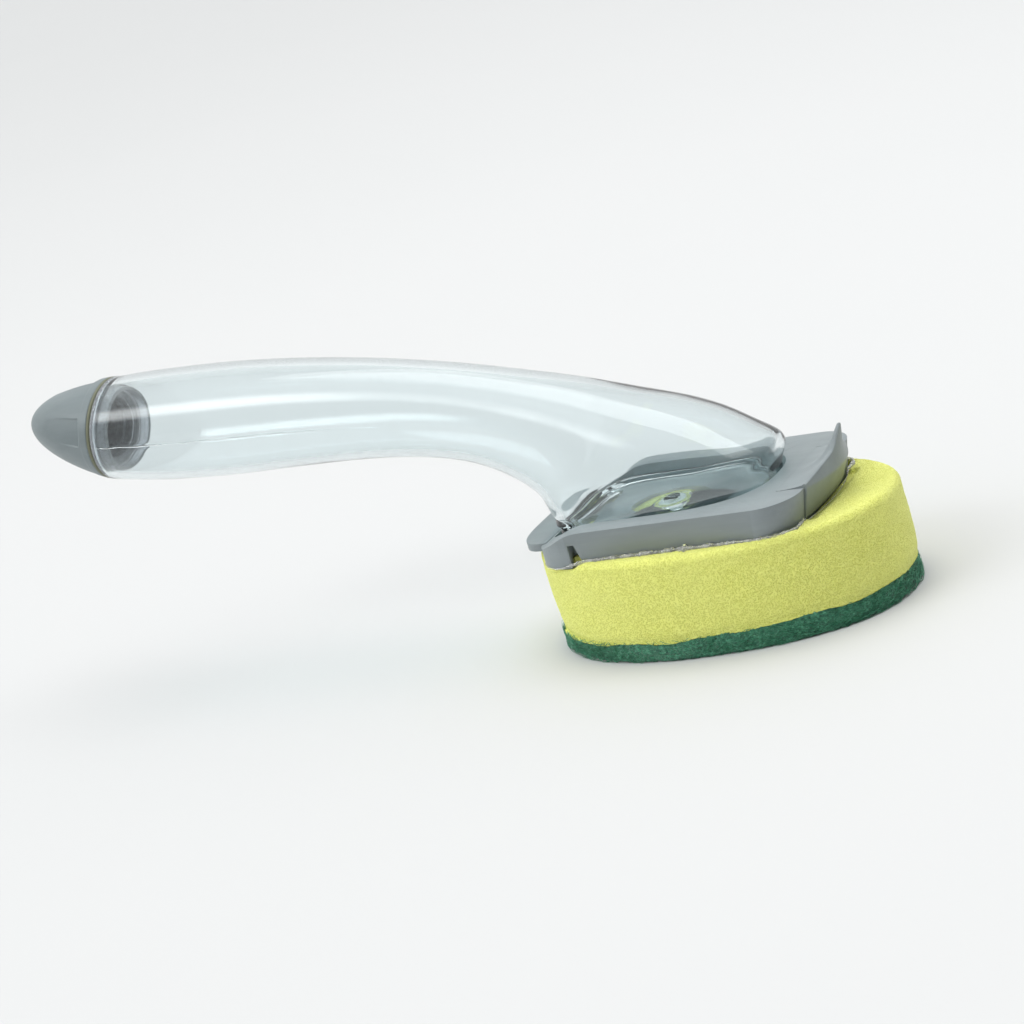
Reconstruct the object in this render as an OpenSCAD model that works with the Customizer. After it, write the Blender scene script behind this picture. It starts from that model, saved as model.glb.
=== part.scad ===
// Soap-dispensing dish wand: clear hollow handle, screw cap with seal,
// clip-on head carrying a foam sponge and a scouring pad.
// Frame: the scouring pad's working face lies on z = 0 with its centre at the
// origin, +X runs towards the head's front tab, the handle lies in the XZ plane.

/* [Handle] */
// Wall thickness of the clear handle shells
wall = 2; // [1.6:0.1:2.4]
// Outer radius of the handle at the cap joint
joint_r = 14.1; // [14:0.1:14.6]
// Drop of the side parting line below the tube's centre line
seam_drop = 0.8; // [0:0.1:1.5]
/* [Cap] */
// Length of the screw cap from its rim to its tip
cap_len = 25.6; // [24:0.2:27]
// Thickness of the sealing ring between handle and cap
seal_t = 1.2; // [1:0.1:1.5]
// Pitch of the cap thread
pitch = 2; // [1.8:0.1:2.2]
/* [Filler neck] */
// Bore radius of the filler neck
neck_bore_r = 8.1; // [7.6:0.1:8.3]
// Length of the filler neck beyond the handle's end
neck_len = 9.0; // [9:0.5:11]
/* [Head] */
// Half width of the head base
base_w = 27.2; // [26:0.2:28]
// Height of the head base's top ledge above the working face
base_top = 34.3; // [34.1:0.1:34.6]
// Thickness of the base's walls and floor
base_t = 1.5; // [1.3:0.1:1.8]
/* [Sponge] */
// Half width of sponge and scouring pad
pad_w = 33.2; // [31:0.2:35]
// Thickness of the scouring pad
pad_t = 5.2; // [4:0.2:6]
// Height of the foam's top face
foam_top = 26.8; // [26:0.1:27]

/* [Hidden] */

// joint plane between handle and cap: centre and tilt of its axis
JX = -168; JZ = 72.42; JT = 10.7;
clear_c = [0.86, 0.91, 0.91, 0.35];
grey_c = [0.50, 0.55, 0.55];

// ---- sections of the handle, from the cap end to the foot ----
// each row: upper edge x, z; lower edge x, z; half width; corner exponents of the upper and lower half
ST = [
  [-164.40, 86.09 , -169.64, 58.38, joint_r, 2, 2],
  [-154.3, 86.1 , -156.1, 56.5, 14.8, 2, 2],
  [-142.7, 85.7 , -144.4, 55.5, 15.1, 2, 2],
  [-129.7, 85.0 , -131.4, 54.8, 15.1, 2, 2],
  [-115.3, 83.7 , -117.2, 54.5, 14.6, 2, 2],
  [-100.2, 81.8 , -102.6, 54.1, 13.9, 2, 2],
  [ -85.0, 79.4 ,  -88.4, 53.4, 13.2, 2, 2],
  [ -70.2, 76.5 ,  -75.0, 51.8, 12.6, 2, 2],
  [ -55.8, 73.2 ,  -62.7, 48.9, 12.6, 2, 2],
  [ -41.8, 69.4 ,  -52.8, 44.4, 13.4, 2.05, 2.05],
  [ -27.8, 65.2 ,  -45.6, 39.0, 14.9, 2.15, 2.15],
  [ -14.1, 60.3 ,  -43.3, 35.4, 16.5, 2.25, 2.35],
  [  -2.1, 56.0 ,  -41.2, 33.6, 17.8, 2.3, 3.1],
  [   8.9, 50.5 ,  -39.9, 32.6, 18.6, 2.4, 3.9],
  [  16.7, 45.1 ,  -38.9, 31.9, 19.0, 2.45, 4.9],
  [  21.0, 40.7 ,  -38.2, 31.6, 19.0, 2.5, 5.1],
  [  19.4, 36.6 ,  -37.8, 31.5, 19.0, 2.5, 5.2],
  [  18.2, 31.4 ,  -37.6, 31.4, 19.0, 2.5, 5.2]
];
NS = len(ST);
SUB = 3;      // rings per section
SEG = 20;     // steps round half a section
function cr(a, b, c, d, t) = 0.5 * (2 * b + (c - a) * t + (2 * a - 5 * b + 4 * c - d) * t * t
                             + (3 * b - a - 3 * c + d) * t * t * t);
function clampi(i, n) = max(0, min(n - 1, i));
function row(u) = let (i = min(NS - 2, floor(u)), t = u - i)
  [for (k = [0:6]) cr(ST[clampi(i - 1, NS)][k], ST[i][k], ST[i + 1][k], ST[clampi(i + 2, NS)][k], t)];
function sg(v) = v < 0 ? -1 : 1;
function spow(v, e) = sg(v) * pow(max(abs(v), 0.000001), e);
// a point of the section: angle a from the upper edge, offset o inwards,
// drop d lowers the point along the section's own height
function spt(r, a, o, d = 0) = let (
    cx = (r[0] + r[2]) / 2, cz = (r[1] + r[3]) / 2,
    h = norm([r[0] - r[2], r[1] - r[3]]) / 2,
    nx = (r[0] - r[2]) / 2 / h, nz = (r[1] - r[3]) / 2 / h,
    e = 2 / (cos(a) > 0 ? r[5] : r[6]),
    p = (h - o) * spow(cos(a), e) - d, q = (r[4] - o) * spow(sin(a), e))
  [cx + nx * p, q, cz + nz * p];

// closed loft through rings of equal length; cap lists the triangles of its end faces
module loft(R, cap) {
  n = len(R); m = len(R[0]);
  polyhedron(
    points = [for (r = R) each r],
    faces = concat(
      cap,
      [for (i = [0:n - 2], j = [0:m - 1]) let (k = (j + 1) % m) [i * m + j, (i + 1) * m + j, (i + 1) * m + k]],
      [for (i = [0:n - 2], j = [0:m - 1]) let (k = (j + 1) % m) [i * m + j, (i + 1) * m + k, i * m + k]],
      [for (c = cap) [(n - 1) * m + c[2], (n - 1) * m + c[1], (n - 1) * m + c[0]]]),
    convexity = 8);
}
// angle at which the parting line crosses the section, a little under its middle
function seam_a(r) = 90 + asin(min(0.4, seam_drop / (norm([r[0] - r[2], r[1] - r[3]]) / 2)));
// one half shell: outer arc forwards, inner arc back
function half_ring(r, up) = let (s = seam_a(r), a0 = up ? -s : s, a1 = up ? s : 360 - s)
  concat([for (i = [0:SEG]) spt(r, a0 + (a1 - a0) * i / SEG, 0)],
         [for (i = [SEG:-1:0]) spt(r, a0 + (a1 - a0) * i / SEG, wall)]);
// end face of a half ring: a strip between outer and inner arc
function strip(m) = [for (j = [0:SEG - 1], h = [0, 1]) h == 0 ? [j, j + 1, m - 2 - j] : [j, m - 2 - j, m - 1 - j]];
module half_shell(up) {
  loft([for (k = [0:(NS - 1) * SUB]) half_ring(row(k / SUB), up)], strip(2 * SEG + 2));
}
module handle_upper_shell() { color(clear_c) half_shell(true); }
module handle_lower_shell() { color(clear_c) half_shell(false); }

// local frame of the cap joint: z points outwards along the cap's axis
module at_joint() { translate([JX, 0, JZ]) rotate([0, -(90 - JT), 0]) children(); }

// row of thread ribs of trapezoid section, one every pitch along the axis:
// root at radius r0, crest at radius r1
module ribs(r0, r1, w0, w1, z0, count) {
  for (k = [0:count - 1]) rotate_extrude($fn = 96) polygon([
    [r0, z0 + pitch * k - w0 / 2], [r1, z0 + pitch * k - w1 / 2],
    [r1, z0 + pitch * k + w1 / 2], [r0, z0 + pitch * k + w0 / 2]]);
}
end_t = 1.0;  // thickness of the end wall that closes the tube
module filler_neck() {
  color(clear_c) at_joint() {
    difference() {
      union() {
        // end wall that closes the tube, with a spigot inside the shells
        translate([0, 0, -end_t]) cylinder(r = joint_r, h = end_t, $fn = 96);
        translate([0, 0, -end_t - 3.3]) cylinder(r = joint_r - wall - 0.4, h = 3.4, $fn = 96);
        cylinder(r = 9.6, h = neck_len, $fn = 96);
      }
      translate([0, 0, -6]) cylinder(r = neck_bore_r, h = neck_len + 7, $fn = 96);
      translate([0, 0, -6]) cylinder(r = joint_r - wall - 1.6, h = 6 - end_t, $fn = 96);
    }
    ribs(9.3, 10.3, 1.3, 0.5, 2.6, 3);
  }
}
module cap_seal() {
  color([0.36, 0.38, 0.28]) at_joint() difference() {
    translate([0, 0, 0.02]) cylinder(r = joint_r - 0.15, h = seal_t - 0.04, $fn = 96);
    translate([0, 0, -1]) cylinder(r = 10.6, h = seal_t + 2, $fn = 96);
  }
}
// outer radius of the cap at a distance s from its rim
function cap_r(s) = joint_r * sqrt(max(0, 1 - pow((s + seal_t) / (cap_len + seal_t), 1.25)));
module screw_cap() {
  color(grey_c) at_joint() translate([0, 0, seal_t]) {
    difference() {
      rotate_extrude($fn = 96) polygon(concat([[0, 0], [joint_r - 0.3, 0]],
        [for (i = [1:19]) let (s = cap_len * (1 - pow(1 - i / 20, 1.6))) [cap_r(s), s]], [[0, cap_len]]));
      // threaded socket for the neck
      translate([0, 0, -1]) cylinder(r = 10.9, h = 9.6, $fn = 96);
      // four shallow grip panels
      for (k = [0:3]) rotate([0, 0, 90 * k + 14])
        translate([0, 17.5, 12]) rotate([20.3, 0, 0])
          cylinder(r = 7, h = 30, center = true, $fn = 64);
    }
    ribs(11.2, 10.5, 1.1, 0.45, 2.6, 3);
  }
}
// outline of the handle's foot
function foot_outline(o, n = 72) = [for (i = [0:n - 1]) let (a = 360 * i / n)
    let (e = 2 / (cos(a) > 0 ? 2.5 : 5.2)) [-9.7 + (27.9 - o) * spow(cos(a), e), (19 - o) * spow(sin(a), e)]];
VX = -11;     // centre of the soap outlet
module foot_plate() {
  color(clear_c) difference() {
    union() {
      translate([0, 0, 29.4]) linear_extrude(2) polygon(foot_outline(0));
      // spigot inside the shells
      translate([0, 0, 31.3]) linear_extrude(1.4) polygon(foot_outline(wall + 0.15));
      // rear hook: a leg down through the head's floor and a toe under its rear rim
      translate([-37.3, -14, 27.9]) cube([1.4, 28, 1.7]);
      translate([-39.7, -14, 27.9]) cube([3.8, 28, 0.8]);
      // outlet nozzle
      translate([VX, 0, 27.2]) cylinder(r = 5, h = 3, $fn = 64);
    }
    translate([0, 0, 31.4]) linear_extrude(2) polygon(foot_outline(wall + 1.3));
    translate([VX, 0, 26]) cylinder(r = 2.2, h = 8, $fn = 64);
    translate([VX, 0, 27.2 - 0.1]) cylinder(r = 3.6, h = 2.3, $fn = 64);
  }
}
module soap_valve() {
  color([0.80, 0.82, 0.80]) translate([VX, 0, 0]) difference() {
    translate([0, 0, 27.3]) cylinder(r = 3.58, h = 2.05, $fn = 64);
    translate([0, 0, 27.2]) cylinder(r = 2.4, h = 1.3, $fn = 64);
    // cross slit
    translate([-1.6, -0.06, 27]) cube([3.2, 0.12, 4]);
    translate([-0.06, -1.6, 27]) cube([0.12, 3.2, 4]);
  }
}

// ---- head ----
BX0 = -41; BX1 = 31.2;
// base outline: rounded rectangle with rear and front corner radii
function arc(cx, cy, r, a0, a1, n) = [for (i = [0:n]) let (a = a0 + (a1 - a0) * i / n) [cx + r * cos(a), cy + r * sin(a)]];
function base_outline(o, bx = BX1) = let (w = base_w - o, x0 = BX0 + o, x1 = bx - o, rr = 11 - o, rf = 10.5 - o) concat(
  arc(x1 - rf, -w + rf, rf, -90, 0, 10), arc(x1 - rf, w - rf, rf, 0, 90, 10),
  arc(x0 + rr, w - rr, rr, 90, 180, 10), arc(x0 + rr, -w + rr, rr, 180, 270, 10));
// inside of the skirt, whose front wall leans
function hollow_outline(o) = let (w = base_w - base_t - o, x0 = BX0 + base_t + o, x1 = 27.2 - o, rr = 9.5 - o, rf = 8 - o) concat(
  arc(x1 - rf, -w + rf, rf, -90, 0, 10), arc(x1 - rf, w - rf, rf, 0, 90, 10),
  arc(x0 + rr, w - rr, rr, 90, 180, 10), arc(x0 + rr, -w + rr, rr, 180, 270, 10));
// opening over the handle's foot: rounded in front, cut corners at the rear
function foot_opening() = concat(
  [for (i = [-15:15]) let (a = 6 * i) [-9.7 + 28.8 * spow(cos(a), 2 / 2.6), 20.8 * spow(sin(a), 2 / 2.6)]],
  [[-30.4, 20.8], [-38.6, 15.4], [-38.6, -15.4], [-30.4, -20.8]]);
// rear lip, a rounded tongue
function lip_outline() = concat([for (i = [0:24]) let (a = 90 + 7.5 * i)
  [-39.6 + 9 * spow(cos(a), 2 / 3.2), 18.6 * spow(sin(a), 2 / 3.2)]]);
function rrect(x0, x1, w, r) = concat(arc(x1 - r, -w + r, r, -90, 0, 6), arc(x1 - r, w - r, r, 0, 90, 6),
  arc(x0 + r, w - r, r, 90, 180, 6), arc(x0 + r, -w + r, r, 180, 270, 6));
TW = 15.2;    // half width of the tab
FLOOR = 29.2; // top of the floor
module head_base() {
  color(grey_c) difference() {
    union() {
      // skirt, top ledges, inner wall and floor
      difference() {
        translate([0, 0, 23.8]) linear_extrude(base_top - 23.8) polygon(base_outline(0));
        translate([0, 0, 23]) linear_extrude(FLOOR - base_t - 23) polygon(hollow_outline(0));
        // channel between skirt and inner wall, open from below
        translate([0, 0, 23]) linear_extrude(base_top - base_t - 23) difference() {
          polygon(rrect(-28, 27.2, base_w - base_t, 8));
          polygon(rrect(-50, 23, 22.1, 5));
        }
        // opening for the handle's foot
        translate([0, 0, FLOOR]) linear_extrude(20) polygon(foot_opening());
        // rear of the top face slopes down
        translate([0, 40, 0]) rotate([90, 0, 0]) linear_extrude(80)
          polygon([[-28.6, 34.4], [-28.6, 42], [-44, 42], [-44, 28.7], [-41, 29.3], [-38.2, 30.05], [-35.9, 30.95]]);
      }
      translate([0, 0, 27.8]) linear_extrude(2) polygon(lip_outline());
    }
    // slot and pocket for the foot's rear hook
    translate([-38.6, -14.6, 26]) cube([3.4, 29.2, 6]);
    translate([-40, -14.6, 26]) cube([4, 29.2, 2.85]);
    // underside of the skirt is lower at the front
    translate([-41.2, -40, 25.4]) rotate([0, 1.2, 0]) translate([-2, 0, -5]) cube([80, 80, 5]);
    // front face leans outwards towards the top
    translate([0, 40, 0]) rotate([90, 0, 0]) linear_extrude(80)
      polygon([[28.7, 23.5], [31.3, 34.4], [31.3, 36], [36, 36], [36, 23.5]]);
    // soap port
    translate([VX, 0, 20]) scale([1.5, 1, 1]) cylinder(r = 7.4, h = 12, $fn = 64);
    // drain slots in the floor, rear and front
    for (s = [-1, 1]) translate([-32, s * 9, 20]) linear_extrude(12) polygon(rrect(-1.9, 1.9, 5, 1.7));
    translate([14.6, 0, 20]) linear_extrude(12) polygon(rrect(-1.8, 1.8, 8, 1.6));
    // notches low in the skirt
    for (s = [-1, 1]) translate([-27.5, s * base_w, 22]) rotate([0, 0, 0])
      rotate([90, 0, 0]) linear_extrude(6, center = true) polygon([[-2.2, 0], [2.4, 0], [-0.4, 9.4], [-2.2, 9.4]]);
    // room for the release tab
    translate([23.7, -TW - 0.3, 26.2]) cube([20, 2 * TW + 0.6, 20]);
  }
}
// rim of the tab: reach and height at a distance y from the middle
function rim_x(y) = let (t = min(1, abs(y) / 16.4)) 31.2 + 6.2 * pow(1 - t, 0.9) + 0.9 * exp(-y * y / 5);
function rim_z(y) = let (t = min(1, abs(y) / 16.4)) base_top + 5.6 * (1 - t) + 4.6 * exp(-y * y / 5);
// outer face of the tab at a height z
function tab_x(y, z) = let (t = min(1, abs(y) / 16.4), f = max(0, min(1, (z - 26) / 8)))
  31.2 - 0.24 * max(0, base_top - z) + (1.4 + 3.6 * pow(f, 0.7)) * (1 - t * t);
function tab_ring(y) = let (
    rx = rim_x(y), rz = rim_z(y), x0 = 24, z0 = base_top, t = 1.5,
    outer = [for (i = [0:6]) let (z = 26.5 + (z0 - 26.5) * i / 6) [tab_x(y, z), z]],
    up = [for (i = [1:4]) let (f = i / 4, z = z0 + (rz - z0) * f, xo = tab_x(y, z0)) [xo + (rx - xo) * pow(f, 1.6), z]],
    inner = [for (i = [0:8]) let (f = 1 - i / 8, x = x0 + (rx - 1.1 - x0) * f) [x, z0 + (rz - z0) * pow(f, 2.2)]],
    under = [[x0, z0 - t], [27.2, z0 - t], [28.7, z0 - 2.4], [28.8, z0 - 4], [27.8, 26.5]])
  [for (p = concat(outer, up, inner, under)) [p[0], y, p[1]]];
module release_tab() {
  // end faces: the upright wall first, then the sheet and its rim
  color(grey_c) loft([for (i = [-12:12]) tab_ring(TW * sin(90 * i / 12))],
    [[0, 1, 24], [1, 2, 24], [2, 23, 24], [2, 3, 23], [3, 4, 23], [4, 22, 23], [4, 5, 22], [5, 6, 22],
     [6, 21, 22], [6, 16, 21], [16, 17, 21], [17, 18, 21], [18, 19, 21], [19, 20, 21], [6, 15, 16],
     [6, 7, 15], [7, 14, 15], [7, 8, 14], [8, 13, 14], [8, 9, 13], [9, 12, 13], [9, 10, 12], [10, 11, 12]]);
}

// ---- sponge, pad and glue ----
function pad_outline(o, n = 72) = [for (i = [0:n - 1]) let (a = 360 * i / n, c = cos(a))
  [-3.9 + ((c < 0 ? 43.9 : 51.7) - o) * spow(c, 2 / 2.2), (pad_w - o) * spow(sin(a), 2 / 2.2)]];
module foam_sponge() {
  color([0.86, 0.86, 0.30]) difference() {
    union() {
      translate([0, 0, pad_t]) linear_extrude(foam_top - pad_t) polygon(pad_outline(0));
      translate([0, 0, foam_top - 1]) linear_extrude(FLOOR - base_t - 0.1 - foam_top + 1) polygon(hollow_outline(0.3));
    }
    // groove for the skirt and room for the tab and its glue
    translate([0, 0, 23.4]) linear_extrude(10) difference() {
      polygon(base_outline(-2.2, 29.4));
      polygon(hollow_outline(0.3));
    }
    translate([29.5, -TW - 1, 26]) cube([12, 2 * TW + 2, 6]);
    translate([VX, 0, 24]) cylinder(r = 6, h = 10, $fn = 48);
    // room for the hook's toe
    translate([-40.5, -15, 27.2]) cube([6, 30, 3]);
    translate([26.4, -TW - 1, 25.6]) cube([12, 2 * TW + 2, 6]);
  }
}
module scouring_pad() {
  color([0.16, 0.45, 0.34]) linear_extrude(pad_t) polygon(pad_outline(0.4));
}
module glue_bead() {
  color([0.90, 0.90, 0.80, 0.5]) difference() {
    translate([0, 0, 23.5]) linear_extrude(3.6) difference() {
      polygon(base_outline(-1.9, 29.35));
      // outside of the skirt, whose front is cut flat
      intersection() {
        polygon(base_outline(-0.05));
        translate([-60, -40]) square([60 + 29.62, 80]);
      }
    }
    // kept clear of the tab's foot
    translate([26, -TW - 2, 25.4]) cube([12, 2 * TW + 4, 6]);
  }
}

handle_upper_shell();
handle_lower_shell();
filler_neck();
foot_plate();
soap_valve();
cap_seal();
screw_cap();
head_base();
release_tab();
foam_sponge();
scouring_pad();
glue_bead();
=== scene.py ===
import math

import bpy
import bmesh
import numpy as np
from mathutils import Matrix, Vector, noise


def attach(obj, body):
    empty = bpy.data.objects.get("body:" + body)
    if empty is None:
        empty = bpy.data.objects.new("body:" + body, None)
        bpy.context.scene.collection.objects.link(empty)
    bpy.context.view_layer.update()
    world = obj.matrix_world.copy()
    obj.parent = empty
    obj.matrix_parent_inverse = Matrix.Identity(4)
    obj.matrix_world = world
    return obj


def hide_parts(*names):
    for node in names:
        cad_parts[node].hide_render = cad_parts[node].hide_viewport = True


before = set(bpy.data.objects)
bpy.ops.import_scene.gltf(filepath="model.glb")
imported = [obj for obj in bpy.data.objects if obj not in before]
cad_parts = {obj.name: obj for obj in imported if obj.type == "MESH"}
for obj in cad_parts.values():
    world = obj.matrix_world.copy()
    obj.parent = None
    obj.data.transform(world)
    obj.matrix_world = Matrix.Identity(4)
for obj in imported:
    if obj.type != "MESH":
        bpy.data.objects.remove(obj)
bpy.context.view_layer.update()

scene = bpy.context.scene
S = 0.001  # the shapes below are written in millimetres

# ------------------------------------------------------------------ helpers


def make(name, verts, faces, smooth=True):
    me = bpy.data.meshes.new(name)
    me.from_pydata((np.asarray(verts, float) * S).tolist(), [], faces)
    me.validate()
    me.update()
    me.polygons.foreach_set("use_smooth", [smooth] * len(me.polygons))
    ob = bpy.data.objects.new(name, me)
    scene.collection.objects.link(ob)
    return ob


def grid_faces(n, m, around_n=False, around_m=False, base=0, flip=False):
    """Quads over an n by m grid of points stored row by row."""
    i = np.arange(n if around_n else n - 1)
    j = np.arange(m if around_m else m - 1)
    I, J = np.meshgrid(i, j, indexing="ij")
    I2, J2 = (I + 1) % n, (J + 1) % m
    q = np.stack([I * m + J, I2 * m + J, I2 * m + J2, I * m + J2], -1).reshape(-1, 4) + base
    if flip:
        q = q[:, ::-1]
    return q.tolist()


def apply_mods(ob):
    """Replaces the object's mesh by what its modifiers make of it."""
    dg = bpy.context.evaluated_depsgraph_get()
    me = bpy.data.meshes.new_from_object(ob.evaluated_get(dg))
    old = ob.data
    ob.modifiers.clear()
    ob.data = me
    me.name = ob.name
    bpy.data.meshes.remove(old)


def recalc(ob):
    bm = bmesh.new()
    bm.from_mesh(ob.data)
    bmesh.ops.recalc_face_normals(bm, faces=bm.faces)
    bm.to_mesh(ob.data)
    bm.free()


def boolean(a, b, op):
    mod = a.modifiers.new("cut", "BOOLEAN")
    mod.operation = op
    mod.solver = "EXACT"
    mod.object = b
    apply_mods(a)
    bpy.data.objects.remove(b)
    return a


def prism(poly, z0, z1, name="cutter", axis="z"):
    """Closed prism over a polygon: in the XY plane along Z, or in XZ along Y."""
    n = len(poly)
    p = np.asarray(poly, float)
    if axis == "z":
        lo = np.c_[p, np.full(n, z0)]
        hi = np.c_[p, np.full(n, z1)]
    else:
        lo = np.c_[p[:, 0], np.full(n, z0), p[:, 1]]
        hi = np.c_[p[:, 0], np.full(n, z1), p[:, 1]]
    faces = [list(range(n))[::-1], list(range(n, 2 * n))]
    faces += [[i, (i + 1) % n, n + (i + 1) % n, n + i] for i in range(n)]
    ob = make(name, np.r_[lo, hi], faces, smooth=False)
    recalc(ob)
    return ob


def tidy(ob, width=0.3, segments=3, angle=32):
    """Rounds the sharp edges of a moulded part and shades it smooth."""
    bm = bmesh.new()
    bm.from_mesh(ob.data)
    bmesh.ops.remove_doubles(bm, verts=bm.verts, dist=2e-6)
    bmesh.ops.dissolve_degenerate(bm, dist=2e-6, edges=bm.edges)
    bmesh.ops.dissolve_limit(
        bm, angle_limit=math.radians(0.6), verts=bm.verts, edges=bm.edges
    )
    bm.to_mesh(ob.data)
    bm.free()
    mod = ob.modifiers.new("round", "BEVEL")
    mod.width = width * S
    mod.segments = segments
    mod.limit_method = "ANGLE"
    mod.angle_limit = math.radians(angle)
    mod.harden_normals = True
    mod.use_clamp_overlap = True
    ob.data.polygons.foreach_set("use_smooth", [True] * len(ob.data.polygons))
    apply_mods(ob)


def spline(t, y, x):
    """Natural cubic spline through (t, y), columns of y apart, read at x."""
    n = len(t)
    h = np.diff(t)
    A = np.zeros((n, n))
    B = np.zeros((n, y.shape[1]))
    A[0, 0] = A[-1, -1] = 1
    for i in range(1, n - 1):
        A[i, i - 1], A[i, i], A[i, i + 1] = h[i - 1], 2 * (h[i - 1] + h[i]), h[i]
        B[i] = 6 * ((y[i + 1] - y[i]) / h[i] - (y[i] - y[i - 1]) / h[i - 1])
    M = np.linalg.solve(A, B)
    k = np.clip(np.searchsorted(t, x) - 1, 0, n - 2)
    d = h[k][:, None]
    a = (t[k + 1] - x)[:, None]
    b = (x - t[k])[:, None]
    return (
        M[k] * a**3 / (6 * d)
        + M[k + 1] * b**3 / (6 * d)
        + (y[k] / d - M[k] * d / 6) * a
        + (y[k + 1] / d - M[k + 1] * d / 6) * b
    )


def nz(p, scale=1.0, seed=0.0, octaves=3):
    """Fractal noise about 0, at a point in millimetres."""
    return noise.fractal(
        Vector((p[0] * scale + seed, p[1] * scale - seed * 0.7, p[2] * scale + seed * 1.3)),
        0.6, 2.1, octaves, noise_basis="PERLIN_ORIGINAL",
    )


def sstep(a, b, x):
    t = np.clip((np.asarray(x, float) - a) / (b - a), 0, 1)
    return t * t * (3 - 2 * t)


def spow(v, e):
    return np.sign(v) * np.abs(v) ** e


# ------------------------------------------------------------------ camera

AZ, EL, ROLL = (math.radians(v) for v in (29.36, 16.02, 16.53))
DIST, FOCAL = 791.885, 3052.04
AIM = np.array([-56.8815, 0.0, 33.0818])
back = np.array([math.sin(AZ) * math.cos(EL), -math.cos(AZ) * math.cos(EL), math.sin(EL)])
right = np.array([math.cos(AZ), math.sin(AZ), 0.0])
up = np.cross(back, right)
cx = math.cos(ROLL) * right - math.sin(ROLL) * up
cy = math.sin(ROLL) * right + math.cos(ROLL) * up
where = AIM + back * DIST
cam = bpy.data.cameras.new("camera")
cam.sensor_width = 36.0
cam.lens = FOCAL * 36.0 / 1024.0
cam.clip_start, cam.clip_end = 0.01, 60.0
cam_ob = bpy.data.objects.new("camera", cam)
cam_ob.matrix_world = Matrix(
    [
        [cx[0], cy[0], back[0], where[0] * S],
        [cx[1], cy[1], back[1], where[1] * S],
        [cx[2], cy[2], back[2], where[2] * S],
        [0, 0, 0, 1],
    ]
)
scene.collection.objects.link(cam_ob)
scene.camera = cam_ob

# ------------------------------------------------------------------ materials


class Tree:
    """Short names for building a node tree."""

    def __init__(self, name):
        self.mat = bpy.data.materials.new(name)
        self.mat.use_nodes = True
        self.nt = self.mat.node_tree
        self.nt.nodes.clear()
        self.out = self.add("ShaderNodeOutputMaterial")
        self.coord = self.add("ShaderNodeTexCoord")

    def add(self, kind, **props):
        n = self.nt.nodes.new(kind)
        for k, v in props.items():
            setattr(n, k, v)
        return n

    def link(self, a, b):
        self.nt.links.new(a, b)

    def mapped(self, scale=(1, 1, 1), rot=(0, 0, 0)):
        m = self.add("ShaderNodeMapping")
        m.inputs["Scale"].default_value = scale
        m.inputs["Rotation"].default_value = rot
        self.link(self.coord.outputs["Object"], m.inputs["Vector"])
        return m.outputs["Vector"]

    def noise(self, scale, detail=3.0, rough=0.55, vec=None, distortion=0.0):
        n = self.add("ShaderNodeTexNoise")
        n.inputs["Scale"].default_value = scale
        n.inputs["Detail"].default_value = detail
        n.inputs["Roughness"].default_value = rough
        n.inputs["Distortion"].default_value = distortion
        self.link(vec if vec is not None else self.coord.outputs["Object"], n.inputs["Vector"])
        return n.outputs["Fac"]

    def voronoi(self, scale, feature="F1", vec=None, rand=1.0):
        n = self.add("ShaderNodeTexVoronoi", feature=feature)
        n.inputs["Scale"].default_value = scale
        n.inputs["Randomness"].default_value = rand
        self.link(vec if vec is not None else self.coord.outputs["Object"], n.inputs["Vector"])
        return n.outputs["Distance"]

    def ramp(self, fac, *stops):
        r = self.add("ShaderNodeValToRGB")
        el = r.color_ramp.elements
        while len(el) < len(stops):
            el.new(0.5)
        for e, (pos, col) in zip(el, stops):
            e.position = pos
            e.color = (*col, 1) if len(col) == 3 else col
        self.link(fac, r.inputs["Fac"])
        return r.outputs["Color"]

    def to_range(self, v, a, b, lo=0.0, hi=1.0):
        m = self.add("ShaderNodeMapRange")
        m.inputs["From Min"].default_value = lo
        m.inputs["From Max"].default_value = hi
        m.inputs["To Min"].default_value = a
        m.inputs["To Max"].default_value = b
        self.link(v, m.inputs["Value"])
        return m.outputs["Result"]

    def math(self, op, a, b):
        m = self.add("ShaderNodeMath", operation=op)
        for k, v in enumerate((a, b)):
            if isinstance(v, (int, float)):
                m.inputs[k].default_value = v
            else:
                self.link(v, m.inputs[k])
        return m.outputs[0]

    def mix(self, fac, a, b, kind="MIX"):
        m = self.add("ShaderNodeMix", data_type="RGBA", blend_type=kind)
        for s, v in ((m.inputs[0], fac), (m.inputs[6], a), (m.inputs[7], b)):
            if isinstance(v, (int, float)):
                s.default_value = v
            elif isinstance(v, tuple):
                s.default_value = (*v, 1)
            else:
                self.link(v, s)
        return m.outputs[2]

    def bump(self, height, strength, distance, normal=None):
        b = self.add("ShaderNodeBump")
        b.inputs["Strength"].default_value = strength
        b.inputs["Distance"].default_value = distance
        self.link(height, b.inputs["Height"])
        if normal is not None:
            self.link(normal, b.inputs["Normal"])
        return b.outputs["Normal"]

    def principled(self, **values):
        p = self.add("ShaderNodeBsdfPrincipled")
        for k, v in values.items():
            k = k.replace("_", " ")
            if isinstance(v, (int, float)):
                p.inputs[k].default_value = v
            elif isinstance(v, tuple):
                p.inputs[k].default_value = (*v, 1) if len(v) == 3 and "Radius" not in k else v
            else:
                self.link(v, p.inputs[k])
        self.link(p.outputs["BSDF"], self.out.inputs["Surface"])
        return p


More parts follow.
